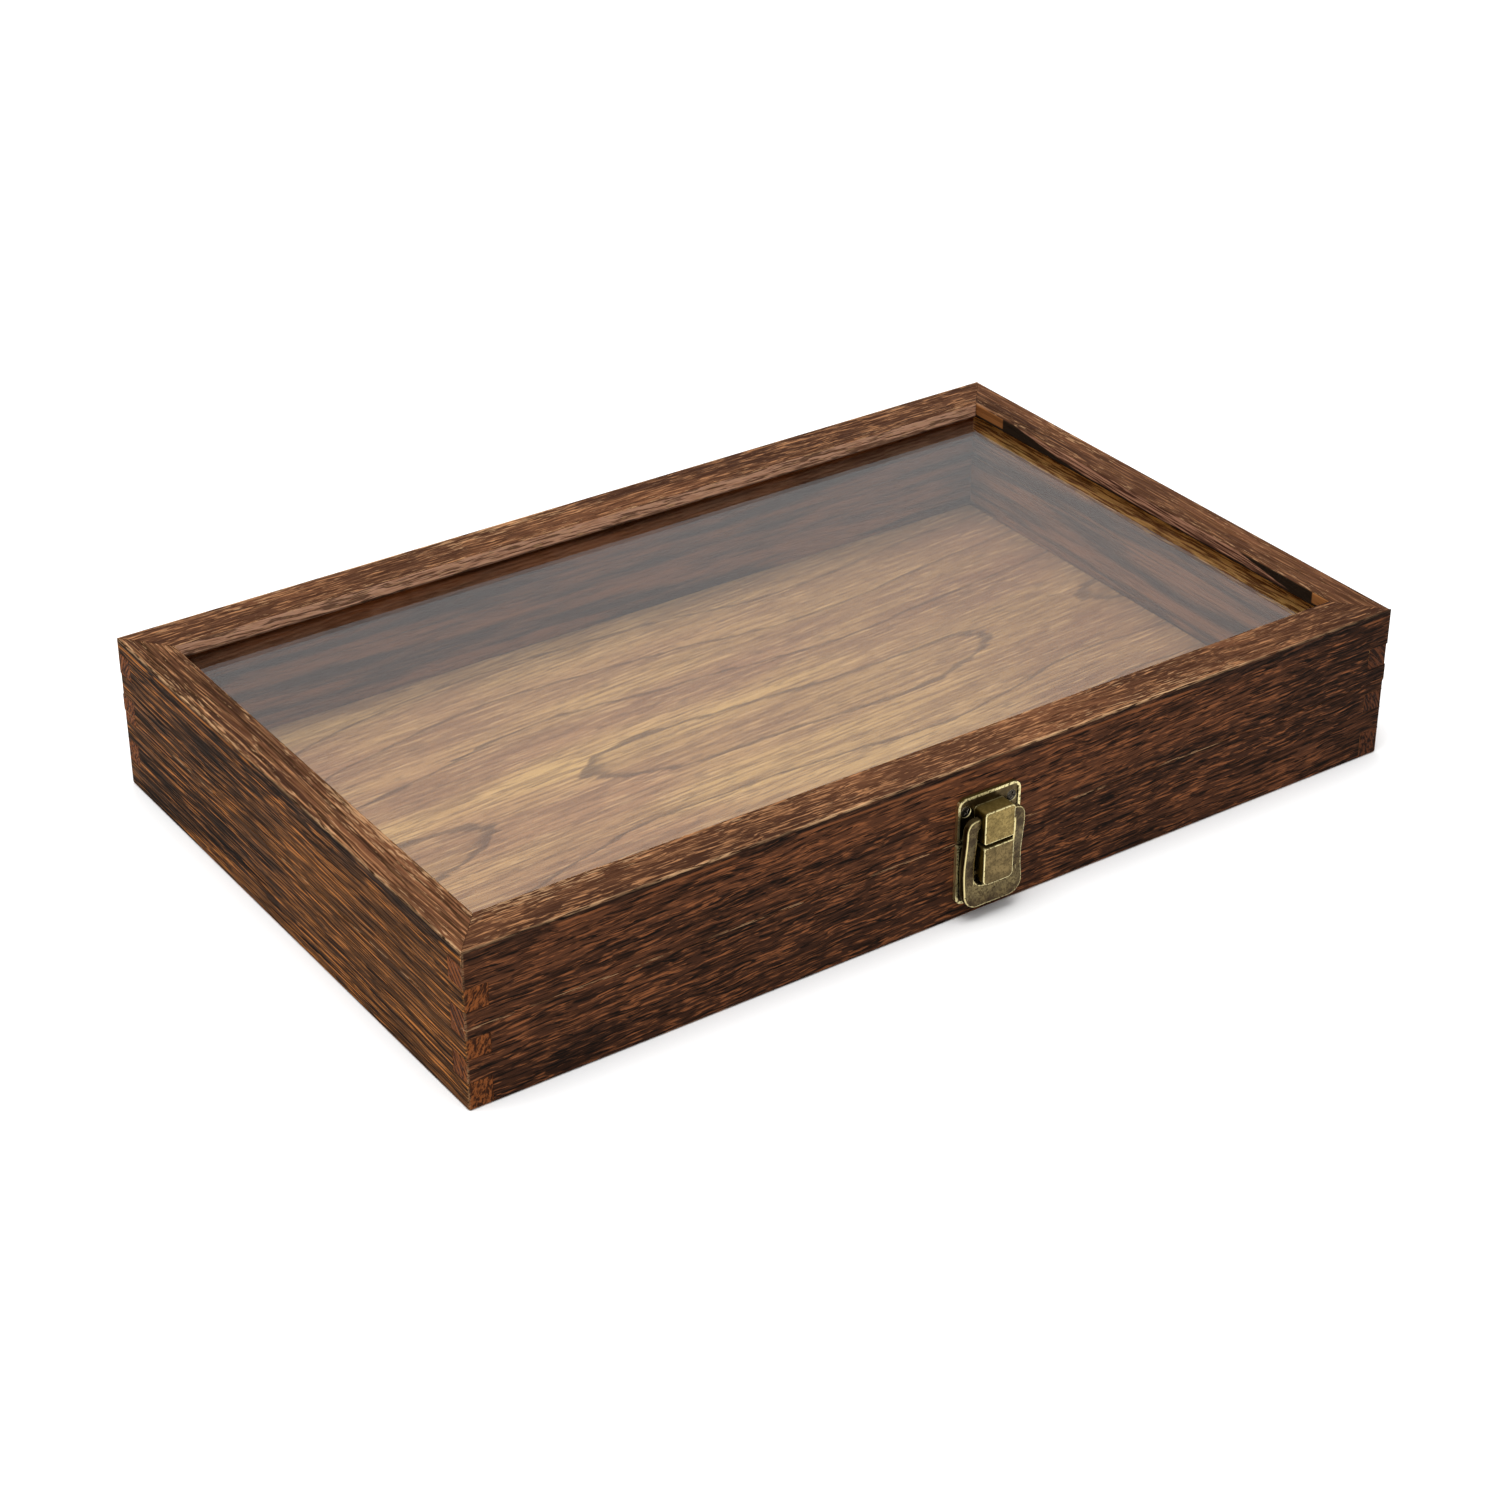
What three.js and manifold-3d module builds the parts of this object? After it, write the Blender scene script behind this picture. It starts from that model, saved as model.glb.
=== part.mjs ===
// Glass-topped wooden display case ("shadow box"): a finger-jointed base tray, a hinged lid
// frame that holds a sliding-in glass pane, two stop hinges behind and a draw latch in front.
// Millimetres, +X to the right, +Y to the back, +Z up; the origin is the centre of the
// footprint, at the height the case rests on.
import * as THREE from 'three';
import { mergeVertices } from 'three/addons/utils/BufferGeometryUtils.js';
import Module from 'manifold-3d';

const wasm = await Module();
wasm.setup();

// ---------------------------------------------------------------- driving dimensions

// Case
const WIDTH = 350;
const DEPTH = 218;
const HEIGHT = 54;
const PARTING = 27.7;          // where the case is sawn into base and lid
const SAW_GAP = 0.2;           // left open between base and lid when shut
const WALL = 8;
const GLUE_GAP = 0.05;         // between two glued pieces of wood
const BASE_FINGERS = [9.5, 17.5, 24.3];   // heights where the corner fingers change wall
const LID_FINGERS = [33.6, 41.3];

// Lid's top lip, mitred at the corners
const LIP_THICKNESS = 5;
const LONG_LIP = 15.5;         // width of the top face in front and behind
const SIDE_LIP = 13;           // width of the top face left and right

// Panels that sit in grooves
const GROOVE_DEPTH = 2.5;
const FLOOR_TOP = 7.2;
const FLOOR_THICKNESS = 3.2;
const FLOOR_SLACK = 0.1;
const GLASS_THICKNESS = 2;
const GLASS_SLACK = 0.3;       // below and around the pane
const GLASS_SHADOW_GAP = 0.5;  // between the pane and the lip above it

// Screws, all alike
const SCREW_HEAD_R = 1.8;
const SCREW_NECK_R = 0.85;
const SCREW_HEAD_HEIGHT = 0.9;
const SCREW_LENGTH = 6;
const SCREW_SLACK = 0.2;
const CROSS_WIDTH = 0.5;
const CROSS_LENGTH = 2.4;
const CROSS_DEPTH = 0.5;

// Hinges
const HINGE_X = 110;           // from the middle to each hinge
const HINGE_WIDTH = 25;
const LEAF_HEIGHT = 13;
const LEAF_THICKNESS = 1;
const BARREL_R = 2.1;
const BARREL_OUT = 2.3;        // from the back of the wood to the hinge axis
const HINGE_PIN_R = 1;
const RUNNING_GAP = 0.08;      // radial, between a pin and what turns on it
const KNUCKLE_GAP = 0.2;
const KNUCKLE_CLEARANCE = 0.25;
const STOP_REACH = 4.4;        // the heel that lands on the base leaf at 105 degrees
const HINGE_SCREW_X = 7.5;
const HINGE_SCREW_DROP = 8;

// Latch. u is sideways from its middle, v out from the wood, w up from the parting.
const LATCH_X = 8.4;
const PLATE_WIDTH = 24;
const PLATE_THICKNESS = 1.3;
const PLATE_RIM = 0.9;
const PLATE_DISH = 0.35;       // how deep the face lies inside the rim
const PLATE_CORNER_R = 3;
const PLATE_INNER_R = 0.8;     // at the parting
const PLATE_GAP = 0.4;         // from each plate to the parting
const CATCH_PLATE_TOP = 15.6;
const BASE_PLATE_BOTTOM = -21.9;
const PLATE_SCREW_U = 8.8;
const PLATE_SCREW_INSET = 4.9;
const BLOCK_WIDTH = 11.6;
const BLOCK_FRONT = 7;
const BLOCK_EDGE = 0.6;        // rounding round the front faces of hood and tongue
const HOOD_BOTTOM = 0.5;
const HOOD_TOP = 11.8;
const TONGUE_TOP = -0.7;
const TONGUE_BOTTOM = -14.2;
const TONGUE_BACK = 2.6;
const TONGUE_CORNER_R = 2;
const HANDLE_BACK = 2.7;
const HANDLE_THICKNESS = 2.5;
const HANDLE_EDGE = 0.5;
const HANDLE_BEND = 1.2;       // how far its arms dip towards the plate, most at BEND_MIDDLE
const [BEND_TOP, BEND_MIDDLE, BEND_BOTTOM, BEND_LEFT] = [5, -10, -22.4, 0.2];
const HANDLE_FACET = 2.2;      // the longest edge of the mesh that is bent
const PIN_V = HANDLE_BACK + HANDLE_THICKNESS / 2;
const HANDLE_PIN_W = 7.6;
const HANDLE_PIN_R = 0.9;
const HANDLE_PIN_HALF = 9;
const TONGUE_PIN_W = -11;
const TONGUE_PIN_R = 0.7;
const TONGUE_PIN_V = PIN_V - handleDip(TONGUE_PIN_W);
const TONGUE_BOSS_R = 1.4;     // round the pin, behind the tongue
const TONGUE_PIN_HALF = 9.4;
const PRESS_GAP = 0.05;        // radial, where a pin is fixed
const SPRING_POCKET = { halfWidth: 2.8, low: -12.9, high: -9.1, front: 5 };
const SPRING_MEAN_R = 1.2;
const SPRING_WIRE_R = 0.28;
const SPRING_TURNS = 4;
const SPRING_PITCH = 0.95;
const KEEPER = { halfWidth: 4, low: -6.2, high: -3, front: 2.3 };

const X = WIDTH / 2;
const Y = DEPTH / 2;
const BASE_TOP = PARTING - SAW_GAP / 2;
const LID_BOTTOM = PARTING + SAW_GAP / 2;
const LIP_BOTTOM = HEIGHT - LIP_THICKNESS;
const ROUND = 24;              // sides of every round piece and hole
const SMALL_ROUND = 16;
const OVERCUT = 1;             // how far a cutter runs past the face it cuts

// How far the handle dips towards the plate at height w.
function handleDip(w) {
  if (w > BEND_MIDDLE) return HANDLE_BEND * THREE.MathUtils.smoothstep(-w, -BEND_TOP, -BEND_MIDDLE);
  const rise = THREE.MathUtils.smoothstep(-w, -BEND_MIDDLE, -BEND_BOTTOM);
  return HANDLE_BEND - (HANDLE_BEND - BEND_LEFT) * rise;
}

// ---------------------------------------------------------------- materials

const material = (color, roughness, metalness, extra = {}) =>
  new THREE.MeshStandardMaterial({ color, roughness, metalness, ...extra });

const OUTER_WOOD = material(0x4a2818, 0.55, 0);
const LID_WOOD = material(0x5a3420, 0.5, 0);
const FLOOR_WOOD = material(0xa58258, 0.6, 0);
const GLASS = material(0xdfe6e4, 0.05, 0, { transparent: true, opacity: 0.25 });
const ANTIQUE_BRASS = material(0x7d6c3c, 0.38, 0.9);
const DARK_SCREW = material(0x5c564e, 0.4, 0.9);
const SPRING_STEEL = material(0x9a9a98, 0.35, 1);

// ---------------------------------------------------------------- solids

// A closed three.js geometry as a manifold, for joining and cutting.
function solid(geometry) {
  const bare = geometry.clone();
  for (const name of Object.keys(bare.attributes)) {
    if (name !== 'position') bare.deleteAttribute(name);
  }
  const merged = mergeVertices(bare, 1e-4);
  return new wasm.Manifold(new wasm.Mesh({
    numProp: 3,
    vertProperties: new Float32Array(merged.attributes.position.array),
    triVerts: new Uint32Array(merged.index.array),
  }));
}

function geometryOf(manifold) {
  const { vertProperties, triVerts, numProp } = manifold.getMesh();
  const points = new Float32Array((vertProperties.length / numProp) * 3);
  for (let i = 0; i < points.length / 3; i++) {
    for (let k = 0; k < 3; k++) points[3 * i + k] = vertProperties[numProp * i + k];
  }
  const indexed = new THREE.BufferGeometry();
  indexed.setAttribute('position', new THREE.BufferAttribute(points, 3));
  indexed.setIndex(new THREE.BufferAttribute(new Uint32Array(triVerts), 1));
  const flat = indexed.toNonIndexed();
  flat.computeVertexNormals();
  return flat;
}

const join = (first, ...rest) => rest.reduce((sum, piece) => sum.add(piece), first);
const cut = (first, ...rest) => rest.reduce((left, piece) => left.subtract(piece), first);

// A box from its low corner to its high corner.
function box([x0, y0, z0], [x1, y1, z1]) {
  const geometry = new THREE.BoxGeometry(x1 - x0, y1 - y0, z1 - z0);
  return solid(geometry.translate((x0 + x1) / 2, (y0 + y1) / 2, (z0 + z1) / 2));
}

// A round bar along X, from x0 to x1, about the line (y, z).
function barX(radius, x0, x1, y, z, sides = ROUND) {
  const geometry = new THREE.CylinderGeometry(radius, radius, x1 - x0, sides);
  return solid(geometry.rotateZ(Math.PI / 2).translate((x0 + x1) / 2, y, z));
}

// A rectangle centred on X = 0 whose upper and lower corners have their own radii.
function roundedOutline(halfWidth, low, high, lowR, highR) {
  const shape = new THREE.Shape();
  shape.moveTo(-halfWidth + lowR, low);
  shape.lineTo(halfWidth - lowR, low);
  shape.absarc(halfWidth - lowR, low + lowR, lowR, -Math.PI / 2, 0);
  shape.lineTo(halfWidth, high - highR);
  shape.absarc(halfWidth - highR, high - highR, highR, 0, Math.PI / 2);
  shape.lineTo(-halfWidth + highR, high);
  shape.absarc(-halfWidth + highR, high - highR, highR, Math.PI / 2, Math.PI);
  shape.lineTo(-halfWidth, low + lowR);
  shape.absarc(-halfWidth + lowR, low + lowR, lowR, Math.PI, 1.5 * Math.PI);
  return shape;
}

// An outline drawn in u and w, pushed out from v = back to v = front, towards -Y.
function pushedOut(shape, back, front, edge = 0, curveSegments = 5) {
  const geometry = new THREE.ExtrudeGeometry(shape, {
    depth: front - back - 2 * edge,
    bevelEnabled: edge > 0,
    bevelSize: edge,
    bevelOffset: -edge,
    bevelThickness: edge,
    bevelSegments: 2,
    curveSegments,
  });
  return solid(geometry.translate(0, 0, back + edge).rotateX(Math.PI / 2));
}

function mesh(name, shape, paint) {
  const geometry = shape instanceof THREE.BufferGeometry ? shape : geometryOf(shape);
  const result = new THREE.Mesh(geometry, paint);
  result.name = name;
  return result;
}

// ---------------------------------------------------------------- finger-jointed walls

// The stretches of height that belong to the long walls or to the side walls at a corner.
function fingerBands(bottom, top, changes, first) {
  const edges = [bottom, ...changes, top];
  const other = { side: 'long', long: 'side' };
  let owner = first;
  return changes.concat(top).map((high, i) => {
    const band = { owner, low: edges[i], high, lowest: i === 0, highest: high === top };
    owner = other[owner];
    return band;
  });
}

// Front (sign -1) or back (sign 1) wall with the side walls' fingers cut out of its ends.
function longWall(sign, bottom, top, bands) {
  const [y0, y1] = sign < 0 ? [-Y, -Y + WALL] : [Y - WALL, Y];
  let wall = box([-X, y0, bottom], [X, y1, top]);
  for (const { low, high, lowest, highest } of bands.filter((band) => band.owner === 'side')) {
    const z0 = lowest ? low - OVERCUT : low - GLUE_GAP;
    const z1 = highest ? high + OVERCUT : high + GLUE_GAP;
    const inner = X - WALL - GLUE_GAP;
    for (const [x0, x1] of [[-X - OVERCUT, -inner], [inner, X + OVERCUT]]) {
      wall = cut(wall, box([x0, y0 - OVERCUT, z0], [x1, y1 + OVERCUT, z1]));
    }
  }
  return wall;
}

// Left (sign -1) or right (sign 1) wall, cut for the long walls' fingers.
function sideWall(sign, bottom, top, bands) {
  const [x0, x1] = sign < 0 ? [-X, -X + WALL] : [X - WALL, X];
  let wall = box([x0, -Y, bottom], [x1, Y, top]);
  for (const { low, high, lowest, highest } of bands.filter((band) => band.owner === 'long')) {
    const z0 = lowest ? low - OVERCUT : low;
    const z1 = highest ? high + OVERCUT : high;
    const inner = Y - WALL - GLUE_GAP;
    for (const [y0, y1] of [[-Y - OVERCUT, -inner], [inner, Y + OVERCUT]]) {
      wall = cut(wall, box([x0 - OVERCUT, y0, z0], [x1 + OVERCUT, y1, z1]));
    }
  }
  return wall;
}

// The groove that a panel of this height range sits in, as one cutter for all four walls.
function grooveCutter(low, high) {
  const x = X - WALL + GROOVE_DEPTH;
  const y = Y - WALL + GROOVE_DEPTH;
  return box([-x, -y, low], [x, y, high]);
}

function panel(low, high, slack) {
  const x = X - WALL + GROOVE_DEPTH - slack;
  const y = Y - WALL + GROOVE_DEPTH - slack;
  return box([-x, -y, low], [x, y, high]);
}

// One mitred strip of the lip: a trapezium seen from above.
function mitredLip(outline) {
  const shape = new THREE.Shape(outline.map(([x, y]) => new THREE.Vector2(x, y)));
  const geometry = new THREE.ExtrudeGeometry(shape, { depth: LIP_THICKNESS, bevelEnabled: false });
  return solid(geometry.translate(0, 0, LIP_BOTTOM));
}

function longLip(sign) {
  const outerX = X - GLUE_GAP;
  const innerX = X - SIDE_LIP - GLUE_GAP;
  const outerY = sign * Y;
  const innerY = sign * (Y - LONG_LIP);
  const outline = [[-outerX, outerY], [outerX, outerY], [innerX, innerY], [-innerX, innerY]];
  return mitredLip(sign < 0 ? outline : outline.reverse());
}

function sideLip(sign) {
  const outerX = sign * X;
  const innerX = sign * (X - SIDE_LIP);
  const innerY = Y - LONG_LIP;
  const outline = [[outerX, -Y], [outerX, Y], [innerX, innerY], [innerX, -innerY]];
  return mitredLip(sign > 0 ? outline : outline.reverse());
}

// ---------------------------------------------------------------- screws

// A screw along local Z: its head's face at z = 0, its point below.
function screwSolid() {
  const profile = [
    [0, -SCREW_LENGTH],
    [SCREW_NECK_R * 0.7, -SCREW_LENGTH + 1.5],
    [SCREW_NECK_R, -SCREW_LENGTH + 2.2],
    [SCREW_NECK_R, -SCREW_HEAD_HEIGHT],
    [SCREW_HEAD_R, -0.15],
    [SCREW_HEAD_R, -0.08],
    [SCREW_HEAD_R * 0.92, 0],
    [0, 0],
  ].map(([r, z]) => new THREE.Vector2(r, z));
  const body = solid(new THREE.LatheGeometry(profile, SMALL_ROUND).rotateX(Math.PI / 2));
  const arm = (x, y) => box([-x / 2, -y / 2, -CROSS_DEPTH], [x / 2, y / 2, OVERCUT]);
  return cut(body, arm(CROSS_LENGTH, CROSS_WIDTH), arm(CROSS_WIDTH, CROSS_LENGTH));
}

const SCREW = geometryOf(screwSolid());

// Turns of the cross recesses, so that no two screws stand alike.
const turns = [0.3, 1.1, 0.7, 0.1, 0.9, 0.5, 1.3, 0.2, 0.8, 1.2, 0.4, 1.0];

// facing -1 looks out of the front, 1 out of the back.
function screw(name, x, y, z, facing) {
  const result = mesh(name, SCREW, DARK_SCREW);
  result.position.set(x, y, z);
  result.rotation.set(-facing * Math.PI / 2, 0, 0);
  result.rotateZ(turns.shift());
  return result;
}

// The countersink in a plate whose outer face is at y, along Y.
function countersink(x, y, z, facing) {
  const top = SCREW_HEAD_R + SCREW_SLACK;
  const neck = SCREW_NECK_R + SCREW_SLACK;
  const depth = PLATE_THICKNESS + OVERCUT;
  const cone = new THREE.CylinderGeometry(top, neck, SCREW_HEAD_HEIGHT, ROUND)
    .translate(0, -SCREW_HEAD_HEIGHT / 2, 0);
  const hole = new THREE.CylinderGeometry(neck, neck, depth, ROUND).translate(0, -depth / 2, 0);
  const mouth = new THREE.CylinderGeometry(top, top, OVERCUT, ROUND)
    .translate(0, OVERCUT / 2 - 0.01, 0);
  const flip = facing > 0 ? 0 : Math.PI;
  const place = (geometry) => solid(geometry.rotateX(flip).translate(x, y, z));
  return join(place(cone), place(hole), place(mouth));
}

// The pilot hole in a wall whose outer face is at y.
function pilotHole(x, y, z, facing) {
  const radius = SCREW_NECK_R + SCREW_SLACK;
  const length = SCREW_LENGTH + 2 * OVERCUT;
  const centre = y - facing * (length / 2 - OVERCUT);
  return solid(new THREE.CylinderGeometry(radius, radius, length, SMALL_ROUND)
    .translate(x, centre, z));
}

// ---------------------------------------------------------------- base and lid

const hingeScrewXs = [-1, 1].flatMap((side) =>
  [-1, 1].map((end) => side * HINGE_X + end * HINGE_SCREW_X));
const latchScrewXs = [-1, 1].map((end) => LATCH_X + end * PLATE_SCREW_U);
const CATCH_SCREW_W = CATCH_PLATE_TOP - PLATE_SCREW_INSET;
const BASE_SCREW_W = BASE_PLATE_BOTTOM + PLATE_SCREW_INSET;

function buildBase() {
  const bands = fingerBands(0, BASE_TOP, BASE_FINGERS, 'side');
  const groove = grooveCutter(FLOOR_TOP - FLOOR_THICKNESS - FLOOR_SLACK, FLOOR_TOP + FLOOR_SLACK);
  const frontHoles = latchScrewXs.map((x) => pilotHole(x, -Y, PARTING + BASE_SCREW_W, -1));
  const backHoles = hingeScrewXs.map((x) => pilotHole(x, Y, PARTING - HINGE_SCREW_DROP, 1));
  const base = new THREE.Group();
  base.add(
    mesh('base_front_wall', cut(longWall(-1, 0, BASE_TOP, bands), groove, ...frontHoles), OUTER_WOOD),
    mesh('base_back_wall', cut(longWall(1, 0, BASE_TOP, bands), groove, ...backHoles), OUTER_WOOD),
    mesh('base_left_wall', cut(sideWall(-1, 0, BASE_TOP, bands), groove), OUTER_WOOD),
    mesh('base_right_wall', cut(sideWall(1, 0, BASE_TOP, bands), groove), OUTER_WOOD),
    mesh('bottom_panel', panel(FLOOR_TOP - FLOOR_THICKNESS, FLOOR_TOP, FLOOR_SLACK), FLOOR_WOOD),
  );
  return base;
}

function buildLid() {
  const glassTop = LIP_BOTTOM - GLASS_SHADOW_GAP;
  const glassBottom = glassTop - GLASS_THICKNESS;
  // Above the last finger both walls end under the lip.
  const bands = fingerBands(LID_BOTTOM, LIP_BOTTOM, [...LID_FINGERS, LIP_BOTTOM], 'long');
  const groove = grooveCutter(glassBottom - GLASS_SLACK, LIP_BOTTOM);
  const frontHoles = latchScrewXs.map((x) => pilotHole(x, -Y, PARTING + CATCH_SCREW_W, -1));
  const backHoles = hingeScrewXs.map((x) => pilotHole(x, Y, PARTING + HINGE_SCREW_DROP, 1));
  const longRail = (sign, holes) =>
    join(cut(longWall(sign, LID_BOTTOM, LIP_BOTTOM, bands), groove, ...holes), longLip(sign));
  const sideRail = (sign) =>
    join(cut(sideWall(sign, LID_BOTTOM, LIP_BOTTOM, bands), groove), sideLip(sign));
  const lid = new THREE.Group();
  lid.add(
    mesh('lid_front_rail', longRail(-1, frontHoles), LID_WOOD),
    mesh('lid_back_rail', longRail(1, backHoles), LID_WOOD),
    mesh('lid_left_rail', sideRail(-1), LID_WOOD),
    mesh('lid_right_rail', sideRail(1), LID_WOOD),
    mesh('glass_pane', panel(glassBottom, glassTop, GLASS_SLACK), GLASS),
  );
  return lid;
}

// ---------------------------------------------------------------- hinges

// One hinge about local X, its axis through the origin; the wood's back is at y = -BARREL_OUT.
function leaf(upper) {
  const sign = upper ? 1 : -1;
  const back = -BARREL_OUT + GLUE_GAP;
  const half = HINGE_WIDTH / 2;
  const middle = HINGE_WIDTH / 6;
  const own = upper
    ? [[-middle + KNUCKLE_GAP / 2, middle - KNUCKLE_GAP / 2]]
    : [[-half, -middle - KNUCKLE_GAP / 2], [middle + KNUCKLE_GAP / 2, half]];
  const others = upper
    ? [[-half - OVERCUT, -middle + KNUCKLE_GAP / 2], [middle - KNUCKLE_GAP / 2, half + OVERCUT]]
    : [[-middle - KNUCKLE_GAP / 2, middle + KNUCKLE_GAP / 2]];
  const [z0, z1] = [sign * SAW_GAP, sign * LEAF_HEIGHT].sort((a, b) => a - b);
  let plate = box([-half, back, z0], [half, back + LEAF_THICKNESS, z1]);
  for (const [x0, x1] of others) {
    plate = cut(plate, barX(BARREL_R + KNUCKLE_CLEARANCE, x0, x1, 0, 0));
  }
  for (const [x0, x1] of own) plate = join(plate, barX(BARREL_R, x0, x1, 0, 0));
  if (upper) {
    const width = middle - 2 * KNUCKLE_GAP;
    plate = join(plate, box([-width, 0, 0], [width, STOP_REACH, LEAF_THICKNESS]));
  }
  plate = cut(plate, barX(HINGE_PIN_R + RUNNING_GAP, -half - OVERCUT, half + OVERCUT, 0, 0));
  for (const end of [-1, 1]) {
    const z = sign * HINGE_SCREW_DROP;
    plate = cut(plate, countersink(end * HINGE_SCREW_X, back + LEAF_THICKNESS, z, 1));
  }
  return plate;
}

function hingePin() {
  const half = HINGE_WIDTH / 2 + 0.1;
  const headR = HINGE_PIN_R * 1.5;
  const headEnd = half + 0.8;
  const profile = [
    [0, -headEnd], [headR * 0.7, -headEnd], [headR, -headEnd + 0.3], [headR, -half],
    [HINGE_PIN_R, -half], [HINGE_PIN_R, half], [headR, half], [headR, headEnd - 0.3],
    [headR * 0.7, headEnd], [0, headEnd],
  ].map(([r, x]) => new THREE.Vector2(r, x));
  return new THREE.LatheGeometry(profile, ROUND).rotateZ(-Math.PI / 2);
}

function buildHinge(side, centreX) {
  const hinge = new THREE.Group();
  hinge.position.set(centreX, Y + BARREL_OUT, PARTING);
  hinge.add(
    mesh(`hinge_${side}_base_leaf`, leaf(false), ANTIQUE_BRASS),
    mesh(`hinge_${side}_lid_leaf`, leaf(true), ANTIQUE_BRASS),
    mesh(`hinge_${side}_pin`, hingePin(), ANTIQUE_BRASS),
  );
  const face = -BARREL_OUT + GLUE_GAP + LEAF_THICKNESS;
  for (const [part, sign] of [['base', -1], ['lid', 1]]) {
    for (const [place, end] of [['left', -1], ['right', 1]]) {
      const name = `hinge_${side}_${part}_screw_${place}`;
      hinge.add(screw(name, end * HINGE_SCREW_X, face, sign * HINGE_SCREW_DROP, 1));
    }
  }
  return hinge;
}

// ---------------------------------------------------------------- latch

// A plate with a raised rim and countersunk holes, u and w centred on the latch.
function latchPlate(low, high, lowR, highR, screwW) {
  const half = PLATE_WIDTH / 2;
  const face = PLATE_THICKNESS - PLATE_DISH;
  const outline = roundedOutline(half, low, high, lowR, highR);
  const dish = roundedOutline(half - PLATE_RIM, low + PLATE_RIM, high - PLATE_RIM,
    Math.max(lowR - PLATE_RIM, 0.3), Math.max(highR - PLATE_RIM, 0.3));
  const plate = cut(pushedOut(outline, GLUE_GAP, PLATE_THICKNESS),
    pushedOut(dish, face, PLATE_THICKNESS + OVERCUT));
  const holes = [-1, 1].map((end) => countersink(end * PLATE_SCREW_U, -face, screwW, -1));
  return cut(plate, ...holes);
}

// The upper plate and the hood cast on it, bored for the handle's pin.
function catchPlate() {
  const plate = latchPlate(PLATE_GAP, CATCH_PLATE_TOP, PLATE_INNER_R, PLATE_CORNER_R, CATCH_SCREW_W);
  const hood = pushedOut(roundedOutline(BLOCK_WIDTH / 2, HOOD_BOTTOM, HOOD_TOP, 0.8, 1.3),
    PLATE_THICKNESS / 2 - BLOCK_EDGE, BLOCK_FRONT, BLOCK_EDGE);
  const front = hood.intersect(box([-X, -BLOCK_FRONT - OVERCUT, -HEIGHT], [X, -PLATE_THICKNESS / 2, HEIGHT]));
  const bore = barX(HANDLE_PIN_R + RUNNING_GAP, -BLOCK_WIDTH, BLOCK_WIDTH, -PIN_V, HANDLE_PIN_W);
  return cut(join(plate, front), bore);
}

// The lower plate, with the low keeper that the tongue snaps against.
function latchBasePlate() {
  const plate = latchPlate(BASE_PLATE_BOTTOM, -PLATE_GAP, PLATE_CORNER_R, PLATE_INNER_R, BASE_SCREW_W);
  const { halfWidth, low, high, front } = KEEPER;
  return join(plate, pushedOut(roundedOutline(halfWidth, low, high, 0.8, 0.8), 0.5, front));
}

// The U-shaped pull, seen from the front: two arms that turn in at the top to meet the hood's sides.
function handleOutline() {
  const tip = BLOCK_WIDTH / 2 + 0.35;
  const tipTop = HANDLE_PIN_W + 1.6;
  const tipBottom = HANDLE_PIN_W - 1.6;
  const arm = 7;
  const outer = 11.2;
  const shoulder = 4.4;
  const bottom = BEND_BOTTOM;
  const cradle = -15.2;
  const outerR = 5.2;
  const innerR = 3.2;
  const shape = new THREE.Shape();
  shape.moveTo(-tip, tipTop);
  shape.lineTo(-arm, tipTop);
  shape.quadraticCurveTo(-outer, tipTop, -outer, shoulder);
  shape.lineTo(-outer, bottom + outerR);
  shape.absarc(-outer + outerR, bottom + outerR, outerR, Math.PI, 1.5 * Math.PI);
  shape.lineTo(outer - outerR, bottom);
  shape.absarc(outer - outerR, bottom + outerR, outerR, 1.5 * Math.PI, 2 * Math.PI);
  shape.lineTo(outer, shoulder);
  shape.quadraticCurveTo(outer, tipTop, arm, tipTop);
  shape.lineTo(tip, tipTop);
  shape.lineTo(tip, tipBottom);
  shape.quadraticCurveTo(arm, tipBottom, arm, tipBottom - 1.8);
  shape.lineTo(arm, cradle + innerR);
  shape.absarc(arm - innerR, cradle + innerR, innerR, 0, -Math.PI / 2, true);
  shape.lineTo(-arm + innerR, cradle);
  shape.absarc(-arm + innerR, cradle + innerR, innerR, -Math.PI / 2, -Math.PI, true);
  shape.lineTo(-arm, tipBottom - 1.8);
  shape.quadraticCurveTo(-arm, tipBottom, -tip, tipBottom);
  return shape;
}

function handle() {
  const flat = pushedOut(handleOutline(), HANDLE_BACK, HANDLE_BACK + HANDLE_THICKNESS, HANDLE_EDGE, 8);
  const pull = flat.refineToLength(HANDLE_FACET).warp((point) => { point[1] += handleDip(point[2]); });
  const pivot = barX(HANDLE_PIN_R + PRESS_GAP, -HANDLE_PIN_HALF - GLUE_GAP,
    HANDLE_PIN_HALF + GLUE_GAP, -PIN_V, HANDLE_PIN_W);
  const cross = barX(TONGUE_PIN_R + PRESS_GAP, -TONGUE_PIN_HALF - GLUE_GAP,
    TONGUE_PIN_HALF + GLUE_GAP, -TONGUE_PIN_V, TONGUE_PIN_W);
  return cut(pull, pivot, cross);
}

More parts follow.
